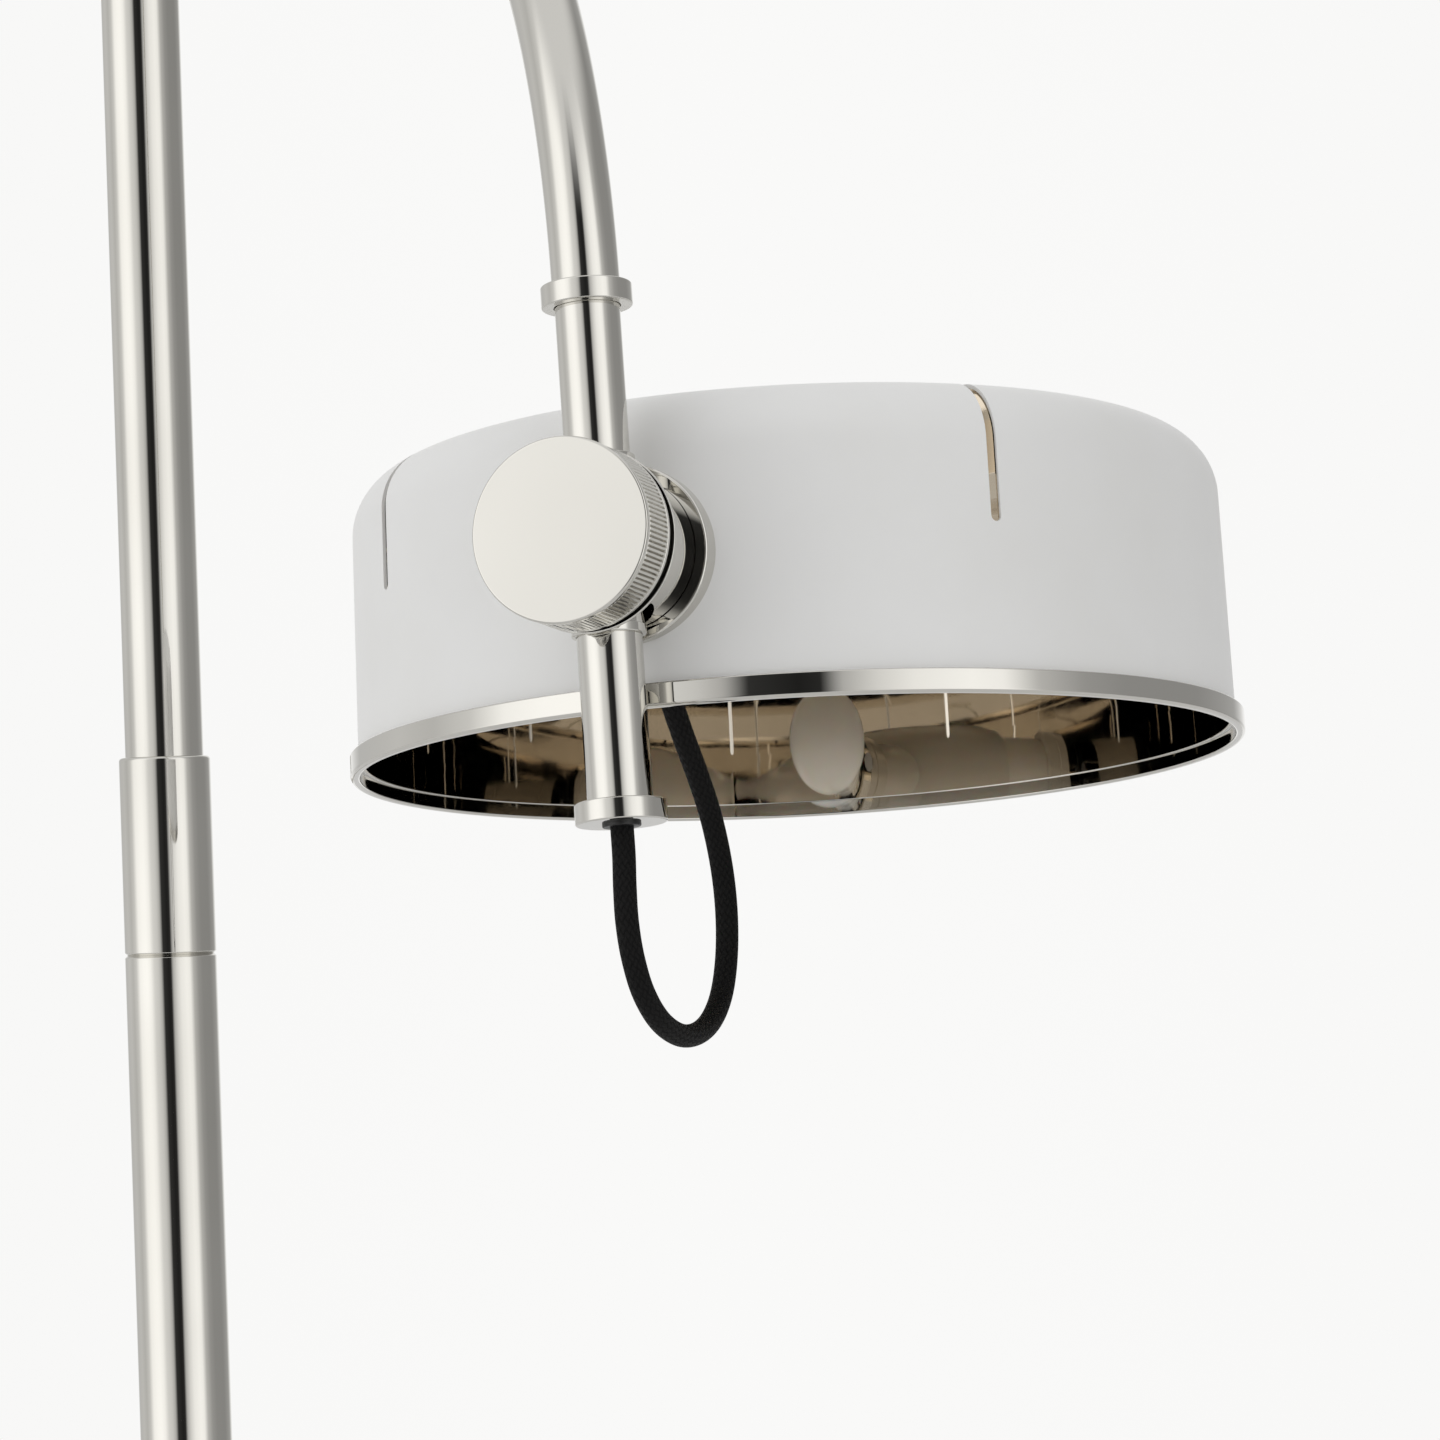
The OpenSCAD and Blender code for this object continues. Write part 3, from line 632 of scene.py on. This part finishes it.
def shade_rows():
    """(radius and height as functions of depth, slot half-width or None) from the rim to the top."""
    rows = []
    half = SLOT_W / 2
    for z in (SKIN_LOW, 8, 14, 22, 30, 38, 46, 52):
        rows.append((lambda d, z=z: (wall_radius(z, d), z), None))
    for k in range(7):
        a = math.radians(90 * k / 6)
        z = SLOT_Z + half - half * math.cos(a)
        rows.append((lambda d, z=z: (wall_radius(z, d), z), max(half * math.sin(a), 0.05)))
    for z in (62, 68, 75, 80):
        rows.append((lambda d, z=z: (wall_radius(z, d), z), half))
    for k in range(25):
        a = math.radians(90 * k / 24)
        rows.append((
            lambda d, a=a: (
                SHOULDER_WALL_R - SHOULDER_R + (SHOULDER_R - d) * math.cos(a),
                SHOULDER_Z + (SHOULDER_R - d) * math.sin(a),
            ),
            half,
        ))
    for r in (124, 119, 114, 109, 104, SLOT_INNER_R):
        rows.append((lambda d, r=r: (r, SHADE_H - d), half))
    for r in (90, 70, 50, 30, 12):
        rows.append((lambda d, r=r: (r, SHADE_H - d), None))
    return rows


def build_skin(name, node, slot, outer_depth, inner_depth, columns=72):
    rows = shade_rows()
    bm = bmesh.new()
    layers = []
    for depth in (outer_depth, inner_depth):
        grid = []
        for at, half in rows:
            r, z = at(depth)
            opening = math.asin((half or 0.3) / r)
            ring = []
            for quarter in range(4):
                centre = math.radians(45 + SLOT_TURN + 90 * quarter)
                for k in range(columns + 1):
                    a = centre + opening + (math.pi / 2 - 2 * opening) * k / columns
                    ring.append(bm.verts.new((r * MM * math.cos(a), r * MM * math.sin(a), z * MM)))
            grid.append(ring)
        layers.append(grid)
        count = len(grid[0])
    open_rows = [half is not None for _, half in rows]

    def is_open(i, k):
        return k % (columns + 1) == columns and open_rows[i] and open_rows[i + 1]

    for grid, flip in zip(layers, (False, True)):
        for i in range(len(rows) - 1):
            for k in range(count):
                n = (k + 1) % count
                if is_open(i, k):
                    continue
                quad = [grid[i][k], grid[i][n], grid[i + 1][n], grid[i + 1][k]]
                bm.faces.new(quad[::-1] if flip else quad)
        top = bm.verts.new((0, 0, (SHADE_H - (inner_depth if flip else outer_depth)) * MM))
        for k in range(count):
            n = (k + 1) % count
            bm.faces.new([grid[-1][k], grid[-1][n], top])
    outer, inner = layers
    for k in range(count):
        n = (k + 1) % count
        bm.faces.new([outer[0][n], outer[0][k], inner[0][k], inner[0][n]])
        first = True
        for i in range(len(rows) - 1):
            if not is_open(i, k):
                continue
            if first:
                bm.faces.new([outer[i][k], outer[i][n], inner[i][n], inner[i][k]])
                first = False
            if not is_open(i + 1, k):
                bm.faces.new([outer[i + 1][n], outer[i + 1][k], inner[i + 1][k], inner[i + 1][n]])
            bm.faces.new([outer[i][k], inner[i][k], inner[i + 1][k], outer[i + 1][k]])
            bm.faces.new([outer[i][n], outer[i + 1][n], inner[i + 1][n], inner[i][n]])
    add_piece(to_object(bm, name, SHADE), "shade", slot, node)


def build_boss():
    bm = bmesh.new()
    sides = 192
    front, floor = BOSS_FRONT - SHADE_OFFSET, BOSS_FLOOR - SHADE_OFFSET
    rings = []
    outline = [(20.05, floor), (20.05, front, 0.3), (BOSS_R, front, 0.9), (BOSS_R, front + 4)]
    for r, x in rounded(outline, False):
        rings.append([
            bm.verts.new((x * MM, r * MM * math.cos(a), (BOSS_HEIGHT + r * math.sin(a)) * MM))
            for a in (2 * math.pi * k / sides for k in range(sides))
        ])
    for inset in (0.0, 0.3):
        ring = []
        for k in range(sides):
            a = 2 * math.pi * k / sides
            y, z = BOSS_R * math.cos(a), BOSS_HEIGHT + BOSS_R * math.sin(a)
            x = -math.sqrt(wall_radius(z) ** 2 - y * y) + inset
            ring.append(bm.verts.new((x * MM, y * MM, z * MM)))
        rings.append(ring)
    skin_rings(bm, rings, False)
    bm.faces.new(list(reversed(rings[0])))
    add_piece(to_object(bm, "shade_boss_v", SHADE, even=True), "shade", "polished_nickel", "shade_boss")


def build_rim():
    r = WALL_R + 3
    ring = [
        (WALL_R + 0.05, 8), (r, 8, 0.6), (r, 0, 1.4), (WALL_R - 0.4, 0, 0.9), (WALL_R - 0.4, SKIN_LOW),
        (WALL_R + 0.05, SKIN_LOW),
    ]
    add_piece(lathe("rim_v", ring, SHADE, True, 384), "shade", "polished_nickel", "rim_ring")


build_base()
build_post()
build_arm()
build_head()
build_clamp()
build_lampholder()
build_skin("shell_v", "shade_shell", "white_enamel", 0, SHELL_T)
build_skin("liner_v", "shade_liner", "nickel_lining", SHELL_T, SHELL_T + LINER_T)
build_boss()
build_rim()

slots_by_node = {s["node"]: s["material_slot"] for s in frame["record"]["subparts"]}
for node_name, node in frame["nodes"].items():
    node.data.materials.clear()
    node.data.materials.append(LOOKS[slots_by_node[node_name]])


# ---- studio ----

def build_floor():
    bm = bmesh.new()
    bmesh.ops.create_circle(bm, cap_ends=True, radius=5.0, segments=128)
    mesh = bpy.data.meshes.new("floor")
    bm.to_mesh(mesh)
    bm.free()
    floor = bpy.data.objects.new("floor", mesh)
    bpy.context.scene.collection.objects.link(floor)
    floor.data.materials.append(simple_look(
        "floor_paint", (0.80, 0.80, 0.80), (0.84, 0.84, 0.84), 0.0, (0.6, 0.8), 3, 200, 0.05, 0.0002))


def build_world():
    """A white studio whose walls are told apart by compass direction from the lamp's head."""
    world = bpy.data.worlds.new("studio")
    bpy.context.scene.world = world
    world.use_nodes = True
    tree = world.node_tree
    tree.nodes.clear()
    coords = tree.nodes.new("ShaderNodeTexCoord")
    turn = tree.nodes.new("ShaderNodeVectorRotate")
    turn.rotation_type = "Z_AXIS"
    turn.inputs["Angle"].default_value = math.radians(180 - view_yaw)
    parts = tree.nodes.new("ShaderNodeSeparateXYZ")
    bearing = tree.nodes.new("ShaderNodeMath")
    bearing.operation = "ARCTAN2"
    fraction = tree.nodes.new("ShaderNodeMapRange")
    fraction.inputs["From Min"].default_value = -math.pi
    fraction.inputs["From Max"].default_value = math.pi
    ramp = tree.nodes.new("ShaderNodeValToRGB")
    rise = tree.nodes.new("ShaderNodeMapRange")
    rise.inputs["From Min"].default_value = 0.55
    rise.inputs["From Max"].default_value = 0.92
    rise.interpolation_type = "SMOOTHSTEP"
    fall = tree.nodes.new("ShaderNodeMapRange")
    fall.inputs["From Min"].default_value = -0.20
    fall.inputs["From Max"].default_value = -0.55
    fall.interpolation_type = "SMOOTHSTEP"
    ceiling = tree.nodes.new("ShaderNodeMix")
    ceiling.data_type = "RGBA"
    ceiling.inputs[7].default_value = (0.85, 0.85, 0.85, 1)
    below = tree.nodes.new("ShaderNodeMix")
    below.data_type = "RGBA"
    below.inputs[7].default_value = (0.9, 0.9, 0.89, 1)
    shine = tree.nodes.new("ShaderNodeBackground")
    target = tree.nodes.new("ShaderNodeOutputWorld")
    link = tree.links.new
    link(coords.outputs["Generated"], turn.inputs["Vector"])
    link(turn.outputs[0], parts.inputs[0])
    link(parts.outputs[1], bearing.inputs[0])
    link(parts.outputs[0], bearing.inputs[1])
    link(bearing.outputs[0], fraction.inputs["Value"])
    link(fraction.outputs[0], ramp.inputs[0])
    link(parts.outputs[2], rise.inputs["Value"])
    link(parts.outputs[2], fall.inputs["Value"])
    link(rise.outputs[0], ceiling.inputs[0])
    link(ramp.outputs[0], ceiling.inputs[6])
    link(fall.outputs[0], below.inputs[0])
    link(ceiling.outputs[2], below.inputs[6])
    link(below.outputs[2], shine.inputs[0])
    link(shine.outputs[0], target.inputs[0])
    walls = [
        (-180, 0.95), (-166, 0.93), (-152, 0.59), (-123, 0.72), (-106, 0.65), (-92, 0.81), (-80, 1.30),
        (-68, 1.40),
        (-57, 1.42), (-47, 1.30), (-37, 0.94), (-26, 0.81), (-19, 0.59), (-13, 0.04), (0, 0.02), (6, 0.03),
        (11, 0.59), (20, 0.94), (30, 1.20), (45, 1.32), (54, 1.25), (64, 0.65), (78, 0.42), (92, 0.35),
        (123, 0.34),
        (150, 0.45), (165, 0.93), (180, 0.95),
    ]
    stops = ramp.color_ramp.elements
    while len(stops) > 1:
        stops.remove(stops[-1])
    for i, (angle, level) in enumerate(walls):
        stop = stops[0] if i == 0 else stops.new((angle + 180) / 360)
        stop.position = (angle + 180) / 360
        stop.color = (level, level * 0.998, level * 0.99, 1)


build_floor()
build_world()
bpy.context.scene.view_settings.view_transform = "Standard"
